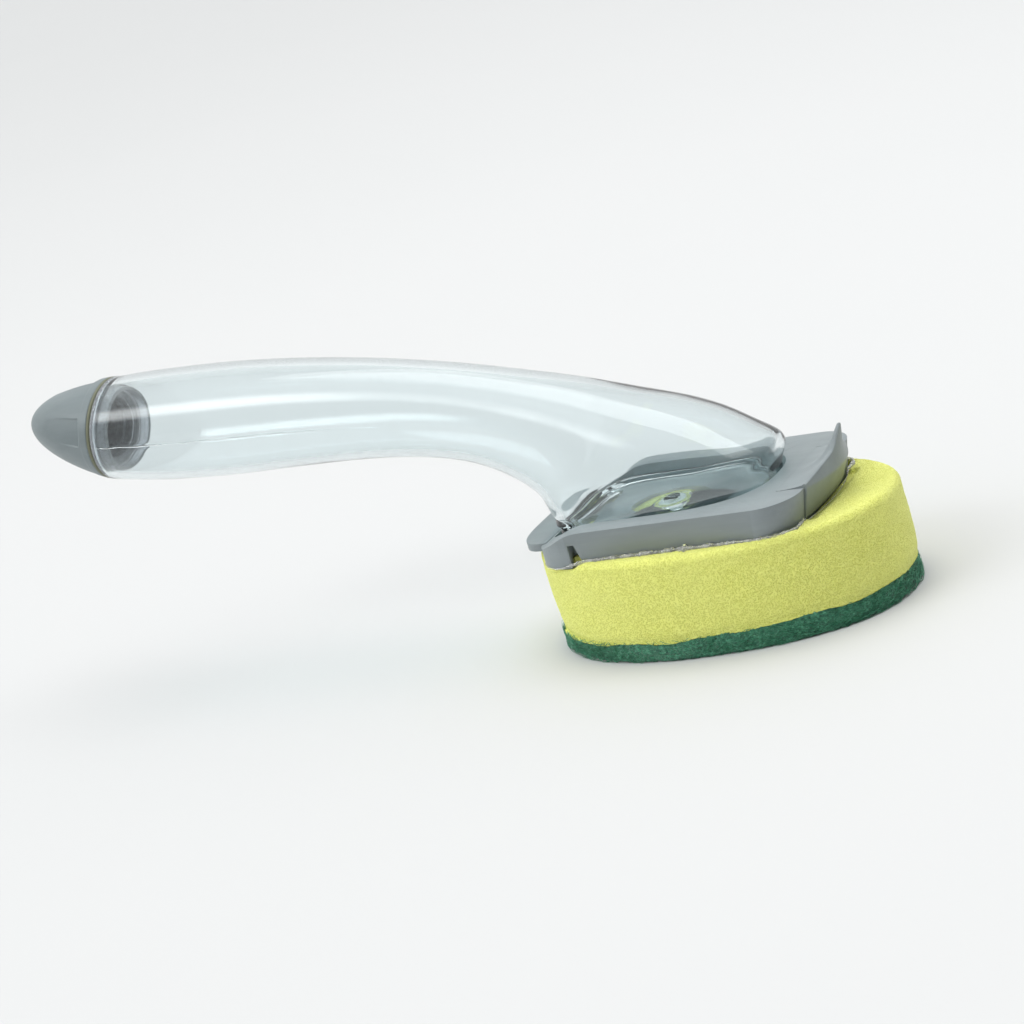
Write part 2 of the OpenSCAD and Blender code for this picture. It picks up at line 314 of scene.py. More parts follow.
def clear_material(name, tint, rough, absorb, density, shadow, bump_scale, bump_amount, ior=1.5):
    """Clear plastic: refracts, takes a little colour along its thickness, and lets lamps through."""
    t = Tree(name)
    wave = t.noise(bump_scale, 2.0, 0.5)
    fine = t.noise(bump_scale * 9, 2.0, 0.5)
    nrm = t.bump(t.math("ADD", wave, t.math("MULTIPLY", fine, 0.04)), bump_amount, 0.0006)
    r = t.to_range(t.noise(90.0, 4.0, 0.6), rough * 0.6, rough * 1.5, 0.3, 0.7)
    p = t.principled(
        Base_Color=tint, Roughness=r, IOR=ior, Transmission_Weight=1.0, Normal=nrm
    )
    clear = t.add("ShaderNodeBsdfTransparent")
    clear.inputs["Color"].default_value = (*shadow, 1)
    path = t.add("ShaderNodeLightPath")
    mix = t.add("ShaderNodeMixShader")
    t.link(path.outputs["Is Shadow Ray"], mix.inputs["Fac"])
    t.link(p.outputs["BSDF"], mix.inputs[1])
    t.link(clear.outputs["BSDF"], mix.inputs[2])
    t.link(mix.outputs["Shader"], t.out.inputs["Surface"])
    if density:
        v = t.add("ShaderNodeVolumeAbsorption")
        v.inputs["Color"].default_value = (*absorb, 1)
        v.inputs["Density"].default_value = density
        t.link(v.outputs["Volume"], t.out.inputs["Volume"])
    return t.mat


MAT = {}
MAT["clear"] = clear_material(
    "clear_plastic", (0.878, 0.918, 0.926), 0.03, (0.62, 0.84, 0.86), 22.0,
    (0.80, 0.86, 0.86), 38.0, 0.16,
)
t = Tree("clear_plastic_neck")
swirl = t.noise(260.0, 4.0, 0.65, None, 2.5)
haze = t.noise(900.0, 4.0, 0.7)
col = t.mix(t.to_range(swirl, 0.0, 1.0, 0.3, 0.7), (0.56, 0.59, 0.63), (0.84, 0.86, 0.90))
t.principled(Base_Color=col, Roughness=t.to_range(swirl, 0.02, 0.07, 0.35, 0.65), IOR=1.49,
             Transmission_Weight=t.to_range(haze, 0.72, 0.92, 0.35, 0.65), Normal=t.bump(swirl, 0.35, 0.0005))
MAT["neck"] = t.mat
t = Tree("clear_glue")
lumps = t.noise(420.0, 3.0, 0.6)
haze = t.noise(900.0, 3.0, 0.6)
t.principled(Base_Color=t.mix(haze, (0.90, 0.92, 0.90), (0.98, 0.98, 0.96)), Roughness=t.to_range(haze, 0.04, 0.12, 0.3, 0.7),
             IOR=1.47, Transmission_Weight=t.to_range(lumps, 0.62, 0.88, 0.35, 0.65), Normal=t.bump(lumps, 0.5, 0.0005))
MAT["glue"] = t.mat


def grey_material(name, dark, light, grain=1.0, rough=(0.36, 0.52)):
    """Moulded polypropylene: satin, with a fine spark texture, faint flow marks and scuffs."""
    t = Tree(name)
    cloud = t.noise(55.0, 4.0, 0.6)
    flow = t.noise(120.0, 3.0, 0.6, t.mapped((0.25, 1.6, 1.6)))
    col = t.mix(t.to_range(flow, 0.0, 1.0, 0.3, 0.7), dark, light)
    col = t.mix(t.to_range(cloud, 0.0, 0.35, 0.35, 0.75), col, light)
    scuff = t.noise(900.0, 5.0, 0.7, t.mapped((0.12, 1.0, 1.0), (0.3, 0.5, 0.9)))
    col = t.mix(t.to_range(scuff, 0.0, 0.22, 0.58, 0.8), col, tuple(min(1, c * 1.5) for c in light))
    spark = t.noise(5200.0, 2.0, 0.5)
    n1 = t.bump(spark, 0.30 * grain, 0.00006)
    n2 = t.bump(flow, 0.10, 0.00012, n1)
    r = t.to_range(t.math("ADD", cloud, t.math("MULTIPLY", scuff, 0.35)), rough[0], rough[1], 0.4, 0.95)
    t.principled(Base_Color=col, Roughness=r, IOR=1.49, Normal=n2)
    return t.mat


MAT["grey"] = grey_material("grey_plastic", (0.205, 0.236, 0.245), (0.245, 0.280, 0.290))
MAT["cap"] = grey_material("grey_plastic_cap", (0.157, 0.190, 0.199), (0.192, 0.229, 0.238), 1.2, (0.34, 0.5))

# painted shade: the inside of the cap is the same grey plastic, coloured near black to stand for the shade in the
# closed socket
t = Tree("socket_painted_shade")
col = t.mix(t.noise(300.0, 4.0, 0.6), (0.030, 0.035, 0.036), (0.055, 0.062, 0.064))
t.principled(Base_Color=col, Roughness=t.to_range(t.noise(400.0), 0.25, 0.4), Normal=t.bump(t.noise(1800.0), 0.2, 0.0001))
MAT["cap_in"] = t.mat

t = Tree("seal_rubber")
col = t.mix(t.noise(700.0, 4.0, 0.6), (0.125, 0.132, 0.082), (0.185, 0.195, 0.130))
t.principled(Base_Color=col, Roughness=t.to_range(t.noise(400.0), 0.45, 0.7), Normal=t.bump(t.noise(3000.0), 0.3, 0.00005))
MAT["seal"] = t.mat

t = Tree("valve_silicone")
col = t.mix(t.noise(500.0, 3.0), (0.66, 0.69, 0.67), (0.78, 0.80, 0.78))
t.principled(Base_Color=col, Roughness=t.to_range(t.noise(600.0), 0.35, 0.55), Transmission_Weight=0.25,
             Subsurface_Weight=0.3, Subsurface_Radius=(0.001, 0.001, 0.001), Normal=t.bump(t.noise(2500.0), 0.2, 0.00004))
MAT["valve"] = t.mat

# open-cell foam: fine round pores with paler struts between them
t = Tree("yellow_foam")
cells = t.voronoi(2900.0)
cells2 = t.voronoi(1700.0)
big = t.noise(70.0, 3.0, 0.6)
pore = t.math("MULTIPLY", t.to_range(cells, 0.0, 1.0, 0.10, 0.60), t.to_range(cells2, 0.72, 1.0, 0.08, 0.5))
col = t.mix(pore, (0.61, 0.64, 0.080), (0.87, 0.90, 0.25))
col = t.mix(t.to_range(big, 0.0, 0.30, 0.35, 0.7), col, (0.86, 0.89, 0.28))
n1 = t.bump(pore, 0.85, 0.00020)
t.principled(Base_Color=col, Roughness=0.92, Specular_IOR_Level=0.2, Subsurface_Weight=0.15,
             Subsurface_Radius=(0.0020, 0.0018, 0.0007), Sheen_Weight=0.1, Sheen_Roughness=0.6, Normal=n1)
MAT["foam"] = t.mat

# scouring pad: matted green fibres with dark gaps and paler strands
t = Tree("green_scourer")
f1 = t.noise(2100.0, 4.0, 0.7, t.mapped((0.28, 1.0, 1.0), (0.0, 0.4, 0.5)), 1.6)
f2 = t.noise(2100.0, 4.0, 0.7, t.mapped((1.0, 0.28, 1.0), (0.5, 0.0, -0.6)), 1.6)
f3 = t.noise(520.0, 4.0, 0.65)
fib = t.math("MAXIMUM", f1, f2)
col = t.ramp(t.to_range(fib, 0.0, 1.0, 0.42, 0.70), (0.0, (0.006, 0.042, 0.025)), (0.40, (0.032, 0.190, 0.108)), (0.72, (0.085, 0.37, 0.215)), (1.0, (0.24, 0.58, 0.40)))
col = t.mix(t.to_range(f3, 0.0, 0.6, 0.48, 0.72), col, (0.010, 0.075, 0.044))
n1 = t.bump(fib, 0.9, 0.0004)
t.principled(Base_Color=col, Roughness=t.to_range(f1, 0.5, 0.85), Sheen_Weight=0.2, Sheen_Roughness=0.5, Normal=n1)
MAT["scourer"] = t.mat

t = Tree("green_fibre")
f1 = t.noise(900.0, 3.0, 0.6)
col = t.ramp(t.to_range(f1, 0.0, 1.0, 0.3, 0.7), (0.0, (0.022, 0.15, 0.085)), (0.5, (0.060, 0.29, 0.165)), (1.0, (0.19, 0.52, 0.34)))
t.principled(Base_Color=col, Roughness=t.to_range(f1, 0.35, 0.6), Normal=t.bump(f1, 0.4, 0.00008))
MAT["fibre"] = t.mat

t = Tree("floor")
col = t.mix(t.noise(2.2, 4.0, 0.5), (0.625, 0.63, 0.63), (0.65, 0.65, 0.65))
t.principled(Base_Color=col, Roughness=0.75, Specular_IOR_Level=0.3, Normal=t.bump(t.noise(400.0, 3.0), 0.05, 0.0002))
MAT["floor"] = t.mat


def finish_piece(ob, mat, body, slot, *nodes):
    ob.data.materials.clear()
    ob.data.materials.append(MAT[mat])
    if nodes:
        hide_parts(*nodes)
    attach(ob, body)
    return ob


# ------------------------------------------------------------------ handle shells

WALL, JR = 2.0, 14.1
JX, JZ, JT = -168.0, 72.42, math.radians(10.7)
EX = np.array([math.sin(JT), 0.0, math.cos(JT)])
EY = np.array([0.0, 1.0, 0.0])
EZ = np.array([-math.cos(JT), 0.0, math.sin(JT)])
JOINT = np.array([JX, 0.0, JZ])


def at_joint(r, th, z):
    """Points of a turned shape about the cap's axis; z runs outwards from the handle's end."""
    r, th, z = np.broadcast_arrays(r, th, z)
    return JOINT + EX * (r * np.cos(th))[..., None] + EY * (r * np.sin(th))[..., None] + EZ * z[..., None]


ST = np.array([
    [-164.40, 86.09, -169.64, 58.38, 14.1, 2.00, 2.00],
    [-154.3, 86.1, -156.1, 56.5, 14.8, 2.00, 2.00],
    [-142.7, 85.7, -144.4, 55.5, 15.1, 2.00, 2.00],
    [-129.7, 85.0, -131.4, 54.8, 15.1, 2.00, 2.00],
    [-115.3, 83.7, -117.2, 54.5, 14.6, 2.00, 2.00],
    [-100.2, 81.8, -102.6, 54.1, 13.9, 2.00, 2.00],
    [-85.0, 79.4, -88.4, 53.4, 13.2, 2.00, 2.00],
    [-70.2, 76.5, -75.0, 51.8, 12.6, 2.00, 2.00],
    [-55.8, 73.2, -62.7, 48.9, 12.6, 2.00, 2.00],
    [-41.8, 69.4, -52.8, 44.4, 13.4, 2.05, 2.05],
    [-27.8, 65.2, -45.6, 39.0, 14.9, 2.15, 2.15],
    [-14.1, 60.3, -43.3, 35.4, 16.5, 2.25, 2.35],
    [-2.1, 56.0, -41.2, 33.6, 17.8, 2.30, 3.10],
    [8.9, 50.5, -39.9, 32.6, 18.6, 2.40, 3.90],
    [16.7, 45.1, -38.9, 31.9, 19.0, 2.45, 4.90],
    [21.0, 40.7, -38.2, 31.6, 19.0, 2.50, 5.10],
    [19.4, 36.6, -37.8, 31.5, 19.0, 2.50, 5.20],
    [18.2, 31.43, -37.6, 31.43, 19.0, 2.50, 5.20],
])
tk = np.r_[0, np.cumsum(np.linalg.norm(np.diff(ST[:, :2], axis=0), axis=1) + 0.25 * np.linalg.norm(np.diff(ST[:, 2:4], axis=0), axis=1))]
rings_t = np.r_[np.linspace(0, tk[11], 150)[:-1], np.linspace(tk[11], tk[-1], 90)]
ROWS = spline(tk, ST, rings_t)
ROWS[:, 5:7] = np.clip(ROWS[:, 5:7], 2.0, 5.2)
# the tube starts a hair in front of its end wall
SHIFT = 0.03


def seam_angle(row, k):
    half = math.hypot(row[0] - row[2], row[1] - row[3]) / 2
    drop = 0.8 + 0.16 * nz((k * 0.9, 0, 0), 0.22, 3.0, 3)
    return math.radians(90) + math.asin(min(0.4, drop / half))


def half_curve(row, k, off, upper, n):
    """n points along half a section, evenly spaced but closer at both ends."""
    s = seam_angle(row, k)
    a0, a1 = (-s, s) if upper else (s, 2 * math.pi - s)
    u = np.linspace(-1, 1, 1500)
    a = a0 + (a1 - a0) * (u + 1) / 2
    mx, mz = (row[0] + row[2]) / 2, (row[1] + row[3]) / 2
    half = math.hypot(row[0] - row[2], row[1] - row[3]) / 2
    dx, dz = (row[0] - row[2]) / 2 / half, (row[1] - row[3]) / 2 / half
    e = np.where(np.cos(a) > 0, 2 / row[5], 2 / row[6])
    p = (half - off) * spow(np.cos(a), e)
    q = (row[4] - off) * spow(np.sin(a), e)
    P = np.c_[mx + dx * p, q, mz + dz * p]
    L = np.r_[0, np.cumsum(np.linalg.norm(np.diff(P, axis=0), axis=1))]
    ends = np.array([0.012, 0.10, 0.22, 0.36, 0.55, 0.85])
    mid = np.linspace(1.4, L[-1] - 1.4, n - 12)
    at = np.r_[ends, mid, L[-1] - ends[::-1]]
    return np.stack([np.interp(at, L, P[:, c]) for c in range(3)], -1), np.array([mx, 0, mz])


def tube(n=76):
    """Both half shells, welded along the parting line, which stays as a fine groove between two ridges."""
    outer, inner = [], []
    bump = np.zeros(n)
    bump[:6] = [-0.13, -0.02, 0.06, 0.05, 0.02, 0.0]
    bump[-6:] = bump[:6][::-1]
    for k, row in enumerate(ROWS):
        o, i = [], []
        fade = 1.25 * (1 + 0.5 * nz((k, 5, 0), 0.31, 9.0, 2)) * (1 - float(sstep(58, 96, k)))
        for upper in (True, False):
            po, c = half_curve(row, k, 0.0, upper, n)
            pi_, _ = half_curve(row, k, WALL, upper, n)
            out = po - c
            out /= np.linalg.norm(out, axis=1)[:, None]
            b = bump * fade * np.where(po[:, 1] < 0, 0.8, 0.25)
            o.append(po + out * b[:, None])
            i.append(pi_)
        outer.append(np.concatenate(o))
        inner.append(np.concatenate(i))
    outer, inner = np.array(outer), np.array(inner)
    outer[0] -= EZ * SHIFT
    inner[0] -= EZ * SHIFT
    R, m = outer.shape[:2]
    V = np.r_[outer.reshape(-1, 3), inner.reshape(-1, 3)]
    B = R * m
    faces = grid_faces(R, m, False, True) + grid_faces(R, m, False, True, base=B, flip=True)
    for k in (0, R - 1):
        for j in range(m):
            j2 = (j + 1) % m
            faces.append([k * m + j, k * m + j2, B + k * m + j2, B + k * m + j])
    ob = make("handle_tube", V, faces)
    recalc(ob)
    ob.data.set_sharp_from_angle(angle=math.radians(38))
    return ob


finish_piece(tube(), "clear", "handle", "clear_plastic", "handle_upper_shell", "handle_lower_shell")

# ------------------------------------------------------------------ neck with its thread


def rounded_profile(pts, r=0.25, n=3):
    """A closed profile with every corner cut by a small arc."""
    pts = np.asarray(pts, float)
    out = []
    for i in range(len(pts)):
        a, b, c = pts[i - 1], pts[i], pts[(i + 1) % len(pts)]
        ua, uc = a - b, c - b
        la, lc = np.linalg.norm(ua), np.linalg.norm(uc)
        rr = min(r, la * 0.4, lc * 0.4)
        pa, pc = b + ua / la * rr, b + uc / lc * rr
        for k in range(n + 1):
            t = k / n
            out.append((1 - t) ** 2 * pa + 2 * t * (1 - t) * b + t * t * pc)
    return np.array(out)


PITCH = 2.0


def thread_height(z, th, z0, z1, width_root, width_crest):
    """0 to 1: how far a point lies up a helical ridge, run out at both ends."""
    ph = (z - z0) / PITCH - th / (2 * math.pi)
    d = np.abs(ph - np.round(ph)) * PITCH
    h = np.clip((width_root / 2 - d) / ((width_root - width_crest) / 2), 0, 1)
    h = h * h * (3 - 2 * h)
    turn = z - th / (2 * math.pi) * PITCH
    return h * sstep(z0 - 0.2, z0 + 0.9, z) * (1 - sstep(z1 - 0.9, z1 + 0.2, z))


def neck():
    M = 128
    th = np.linspace(0, 2 * math.pi, M, endpoint=False)
    base = rounded_profile([
        (8.1, 9.0), (8.1, -1.0), (10.6, -1.0), (10.5, -4.25), (11.6, -4.25),
        (11.7, -1.02), (14.06, -1.0), (14.08, 0.0), (9.6, 0.0),
    ], 0.2)
    rows = [np.stack([np.full(M, r), np.full(M, z)], -1) for r, z in base]
    zs = np.linspace(0.5, 8.7, 84)
    for z in zs:
        h = thread_height(z, th, 1.8, 8.0, 1.35, 0.5)
        rows.append(np.stack([9.6 + 0.7 * h, np.full(M, z)], -1))
    rows.append(np.stack([np.full(M, 9.5), np.full(M, 8.92)], -1))
    rows.append(np.stack([np.full(M, 9.3), np.full(M, 9.0)], -1))
    P = np.array(rows)
    G = at_joint(P[..., 0], th[None, :], P[..., 1])
    ob = make("filler_neck_turned", G.reshape(-1, 3), grid_faces(len(rows), M, True, True))
    recalc(ob)
    ob.data.set_sharp_from_angle(angle=math.radians(60))
    return ob


finish_piece(neck(), "neck", "handle", "clear_plastic", "filler_neck")

# ------------------------------------------------------------------ seal


def turned(name, prof, M=160):
    th = np.linspace(0, 2 * math.pi, M, endpoint=False)
    G = at_joint(np.repeat(prof[:, 0:1], M, 1), th[None, :], np.repeat(prof[:, 1:2], M, 1))
    ob = make(name, G.reshape(-1, 3), grid_faces(len(prof), M, True, True))
    recalc(ob)
    return ob


seal = turned("seal_ring", rounded_profile([
    (10.6, 1.18), (10.6, 0.02), (13.55, 0.02), (13.75, 0.3), (13.94, 0.42), (13.95, 1.18)], 0.16, 4))
finish_piece(seal, "seal", "seal", "seal_rubber", "cap_seal")

# ------------------------------------------------------------------ cap

CAP_LEN, SEAL_T = 25.6, 1.2


def cap_r(s):
    return JR * np.sqrt(np.maximum(0, 1 - ((s + SEAL_T) / (CAP_LEN + SEAL_T)) ** 1.25))


def cap():
    M = 336
    th = np.linspace(0, 2 * math.pi, M, endpoint=False)
    s = np.r_[[0.0, 0.05, 0.15, 0.3], np.linspace(0.5, 3.4, 12), np.linspace(3.5, 5.6, 22), np.linspace(5.8, 21.5, 64),
              CAP_LEN - (CAP_LEN - 21.7) * (1 - np.linspace(0, 1, 26)) ** 2]
    s = s[:-1]
    rim = np.array([0.42, 0.22, 0.09, 0.02])
    rows = []
    for k, v in enumerate(s):
        r = np.full(M, cap_r(v) - 0.05 - (rim[k] if k < 4 else 0))
        # a faint step between the rim band and the body
        r -= 0.10 * sstep(2.35, 2.75, v)
        x, y = r * np.cos(th), r * np.sin(th)
        for a in (12, 102, 192, 282):
            ca, sa = math.cos(math.radians(a)), math.sin(math.radians(a))
            u, w = x * ca + y * sa, -x * sa + y * ca
            flat = cap_r(v) - 0.80 + 0.035 * (v - 3.0) - 0.022 * w * w
            half = 3.75 - 0.06 * (v - 6.0)
            m = (1 - sstep(half - 0.18, half + 0.12, np.abs(w))) * sstep(2.85, 3.3, v - 0.03 * w * w) * (1 - sstep(14.5, 17.5, v)) * (u > 0)
            u2 = u + (np.minimum(u, flat) - u) * m
            x, y = u2 * ca - w * sa, u2 * sa + w * ca
        rows.append(JOINT + EX * x[:, None] + EY * y[:, None] + EZ * (v + SEAL_T))
    tip = JOINT + EZ * (CAP_LEN + SEAL_T - 0.02)
    # inside: rim face, threaded socket, end wall
    ins = []
    ins.append(at_joint(np.full(M, 11.1), th, np.full(M, SEAL_T)))
    ins.append(at_joint(np.full(M, 10.95), th, np.full(M, SEAL_T + 0.15)))
    for z in np.linspace(0.3, 8.4, 70):
        h = thread_height(z + SEAL_T, th, 2.9, 8.6, 1.15, 0.45)
        ins.append(at_joint(10.92 - 0.42 * h * sstep(0.3, 0.8, z), th, np.full(M, z + SEAL_T)))
    ins.append(at_joint(np.full(M, 10.85), th, np.full(M, SEAL_T + 8.56)))
    ins.append(at_joint(np.full(M, 10.6), th, np.full(M, SEAL_T + 8.6)))
    ins.append(at_joint(np.full(M, 5.0), th, np.full(M, SEAL_T + 8.6)))
    G = ins[::-1] + rows
    n = len(G)
    V = np.concatenate(G)
    faces = grid_faces(n, M, False, True)
    V = np.r_[V, [tip], [JOINT + EZ * (SEAL_T + 8.6)]]
    t_i, w_i = len(V) - 2, len(V) - 1
    last = (n - 1) * M
    for j in range(M):
        k = (j + 1) % M
        faces.append([last + j, t_i, last + k])
        faces.append([j, k, w_i])
    ob = make("cap_turned", V, faces)
    recalc(ob)
    ob.data.set_sharp_from_angle(angle=math.radians(55))
    return ob


cap_piece = finish_piece(cap(), "cap", "cap", "grey_plastic", "screw_cap")
# the inside faces of the cap take the near-black painted shade
cap_piece.data.materials.append(MAT["cap_in"])
for f in cap_piece.data.polygons:
    if max(f.vertices) < 336 * 73:
        f.material_index = 1

# ------------------------------------------------------------------ outlines


def arc(cx_, cy_, r, a0, a1, n):
    a = np.radians(np.linspace(a0, a1, n + 1))
    return np.c_[cx_ + r * np.cos(a), cy_ + r * np.sin(a)]


BX0, BX1, BW, BASE_T = -41.0, 31.2, 27.2, 1.5


def base_outline(o, n=22, bx=None):
    w, x0, x1, rr, rf = BW - o, BX0 + o, (BX1 if bx is None else bx) - o, 11 - o, 10.5 - o
    return np.r_[arc(x1 - rf, -w + rf, rf, -90, 0, n), arc(x1 - rf, w - rf, rf, 0, 90, n),
                 arc(x0 + rr, w - rr, rr, 90, 180, n), arc(x0 + rr, -w + rr, rr, 180, 270, n)]


def hollow_outline(o, n=22, x1=29.5):
    w, x0, x1, rr, rf = BW - BASE_T - o, BX0 + BASE_T + o, x1 - o, 9.5 - o, 9 - o
    return np.r_[arc(x1 - rf, -w + rf, rf, -90, 0, n), arc(x1 - rf, w - rf, rf, 0, 90, n),
                 arc(x0 + rr, w - rr, rr, 90, 180, n), arc(x0 + rr, -w + rr, rr, 180, 270, n)]


def foot_opening(o=0.0):
    a = np.radians(np.linspace(-90, 90, 61))
    f = np.c_[-9.7 + (28.8 - o) * spow(np.cos(a), 2 / 2.6), (20.8 - o) * spow(np.sin(a), 2 / 2.6)]
    c = 0.9
    rear = []
    for q0, q1, q2 in (((-20, 20.8), (-30.4, 20.8), (-38.6, 15.4)), ((-30.4, 20.8), (-38.6, 15.4), (-38.6, 0))):
        q0, q1, q2 = map(np.array, (q0, q1, q2))
        u, v = (q0 - q1) / np.linalg.norm(q0 - q1), (q2 - q1) / np.linalg.norm(q2 - q1)
        for k in range(5):
            t = k / 4
            rear.append((1 - t) ** 2 * (q1 + u * c) + 2 * t * (1 - t) * q1 + t * t * (q1 + v * c))
    rear = np.array(rear)
    return np.r_[f, rear, rear[::-1] * [1, -1]]


def lip_outline():
    a = np.radians(np.linspace(90, 270, 49))
    return np.c_[-39.6 + 9 * spow(np.cos(a), 2 / 3.2), 18.6 * spow(np.sin(a), 2 / 3.2)]


def rrect(x0, x1, w, r, n=12, cy0=0.0):
    p = np.r_[arc(x1 - r, -w + r, r, -90, 0, n), arc(x1 - r, w - r, r, 0, 90, n),
              arc(x0 + r, w - r, r, 90, 180, n), arc(x0 + r, -w + r, r, 180, 270, n)]
    p[:, 1] += cy0
    return p


def foot_outline(o, n=160):
    a = np.linspace(0, 2 * math.pi, n, endpoint=False)
    c, s_ = np.cos(a), np.sin(a)
    e = np.where(c > 0, 2 / 2.5, 2 / 5.2)
    P = np.c_[-9.7 + (27.9 - o) * spow(c, e), (19 - o) * spow(s_, e)]
    # even spacing
    Q = np.r_[P, P[:1]]
    L = np.r_[0, np.cumsum(np.linalg.norm(np.diff(Q, axis=0), axis=1))]
    at = np.linspace(0, L[-1], n, endpoint=False)
    return np.c_[np.interp(at, L, Q[:, 0]), np.interp(at, L, Q[:, 1])]


VX, FLOOR = -11.0, 29.2

# ------------------------------------------------------------------ foot of the handle


def foot():
    n = 160

    def circ(r):
        O = foot_outline(0, n)
        a = np.arctan2(O[:, 1], O[:, 0] - VX)
        return np.c_[VX + r * np.cos(a), r * np.sin(a)]

    rings = []

    def ring(p, z):
        rings.append(np.c_[p, np.full(len(p), z)])

    ring(circ(2.2), 31.40); ring(circ(2.2), 29.40); ring(circ(3.62), 29.40); ring(circ(3.62), 27.3); ring(circ(3.75), 27.2)
    ring(circ(4.8), 27.2); ring(circ(5.0), 27.4); ring(circ(5.0), 29.2); ring(circ(5.3), 29.4)
    ring(foot_outline(0.15, n), 29.4); ring(foot_outline(-0.2, n), 29.5); ring(foot_outline(-0.38, n), 29.8)
    ring(foot_outline(-0.42, n), 30.3); ring(foot_outline(-0.38, n), 30.8); ring(foot_outline(-0.2, n), 31.1)
    ring(foot_outline(0.0, n), 31.25); ring(foot_outline(0.08, n), 31.37); ring(foot_outline(2.15, n), 31.37)
    ring(foot_outline(2.15, n), 32.6); ring(foot_outline(2.25, n), 32.7)
    ring(foot_outline(3.2, n), 32.7); ring(foot_outline(3.3, n), 32.6); ring(foot_outline(3.3, n), 31.55); ring(foot_outline(3.6, n), 31.4)
    V = np.concatenate(rings)
    ob = make("foot_moulding", V, grid_faces(len(rings), n, True, True))
    recalc(ob)
    leg = prism([(-37.3, -14), (-35.9, -14), (-35.9, 14), (-37.3, 14)], 27.9, 29.6)
    toe = prism([(-39.7, -14), (-36.4, -14), (-36.4, 14), (-39.7, 14)], 27.9, 28.7)
    boolean(leg, toe, "UNION")
    boolean(ob, leg, "UNION")
    ob.data.polygons.foreach_set("use_smooth", [True] * len(ob.data.polygons))
    ob.data.set_sharp_from_angle(angle=math.radians(35))
    return ob


finish_piece(foot(), "clear", "handle", "clear_plastic", "foot_plate")
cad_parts["soap_valve"].data.materials.clear()
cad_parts["soap_valve"].data.materials.append(MAT["valve"])

# ------------------------------------------------------------------ head base


def z_top(x):
    """Height of the base's top face: level over the ledges, sloping down at the rear."""
    x = np.asarray(x, float)
    xs = np.array([-60, -41, -38.2, -35.9, -34.0, -32.2, -30.7, -29.2, -27.6, -25, -21, 40.0])
    zs = np.array([28.2, 29.3, 30.05, 30.95, 31.8, 32.65, 33.3, 33.8, 34.1, 34.22, 34.25, 34.3])
    return np.interp(x, xs, zs)


def lean(ob):
    """The front of the skirt leans outwards towards the top."""
    me = ob.data
    co = np.empty(len(me.vertices) * 3)
    me.vertices.foreach_get("co", co)
    co = co.reshape(-1, 3)
    x, z = co[:, 0] / S, co[:, 2] / S
    co[:, 0] -= 0.24 * np.maximum(0, 34.3 - z) * sstep(14.0, 30.0, x) * S
    me.vertices.foreach_set("co", co.ravel())
    me.update()


def head():
    xs = np.r_[np.linspace(-48, -22, 60), np.linspace(-20, 40, 13)]
    zt = np.array([z_top(np.linspace(x - 0.9, x + 0.9, 9)).mean() for x in xs])
    top = np.c_[xs, zt]
    low = np.array([(40.0, 25.4 - 0.02095 * 81.2), (-48.0, 25.4 + 0.02095 * 6.8)])
    side = prism(np.r_[top, low], -40, 40, "side", "y")
    ob = prism(base_outline(0), 20, 40, "head_moulding")
    boolean(ob, side, "INTERSECT")
    boolean(ob, prism(hollow_outline(0), 10, FLOOR - BASE_T), "DIFFERENCE")
    chan = prism(rrect(-28, 29.5, BW - BASE_T, 9), 10, 32.8)
    boolean(chan, prism(rrect(-50, 23.0, 22.1, 5), 5, 50), "DIFFERENCE")
    boolean(ob, chan, "DIFFERENCE")
    boolean(ob, prism(foot_opening(), FLOOR, 60), "DIFFERENCE")
    boolean(ob, prism(lip_outline(), 27.8, 29.8), "UNION")
    boolean(ob, prism([(-38.6, -14.6), (-35.2, -14.6), (-35.2, 14.6), (-38.6, 14.6)], 20, 32), "DIFFERENCE")
    boolean(ob, prism([(-40, -14.6), (-36, -14.6), (-36, 14.6), (-40, 14.6)], 20, 28.85), "DIFFERENCE")
    a = np.linspace(0, 2 * math.pi, 72, endpoint=False)
    boolean(ob, prism(np.c_[VX + 11.1 * np.cos(a), 7.4 * np.sin(a)], 10, 32), "DIFFERENCE")
    for sgn in (-1, 1):
        boolean(ob, prism(rrect(-33.9, -30.1, 5, 1.7, cy0=sgn * 9), 10, 32), "DIFFERENCE")
        nt_ = np.array([(-29.5, 20), (-24.4, 20), (-27.7, 31.2), (-29.5, 31.2)])
        boolean(ob, prism(nt_, min(sgn * 24.2, sgn * 30.2), max(sgn * 24.2, sgn * 30.2), axis="y"), "DIFFERENCE")
    boolean(ob, prism(rrect(12.8, 16.4, 8, 1.6), 10, 32), "DIFFERENCE")
    lean(ob)
    tidy(ob, 0.34, 3)
    boolean(ob, prism([(23.7, -15.42), (45, -15.42), (45, 15.42), (23.7, 15.42)], 26.2, 60), "DIFFERENCE")
    ob.data.polygons.foreach_set("use_smooth", [True] * len(ob.data.polygons))
    ob.data.set_sharp_from_angle(angle=math.radians(34))
    return ob


finish_piece(head(), "grey", "head", "grey_plastic", "head_base")

# ------------------------------------------------------------------ release tab

TW = 15.2


def rim_x(y):
    t = np.minimum(1, np.abs(y) / 16.4)
    return 31.2 + 6.2 * (1 - t) ** 0.9 + 0.9 * np.exp(-y * y / 5)


def rim_z(y):
    t = np.minimum(1, np.abs(y) / 16.4)
    return 34.45 + 5.5 * (1 - t) + 4.6 * np.exp(-y * y / 5) + 0.3 * t


def tab_x(y, z):
    t = min(1, abs(y) / 16.4)
    f = np.clip((z - 26) / 8, 0, 1)
    return 31.2 + (1.4 + 3.6 * f**0.7) * (1 - t * t)


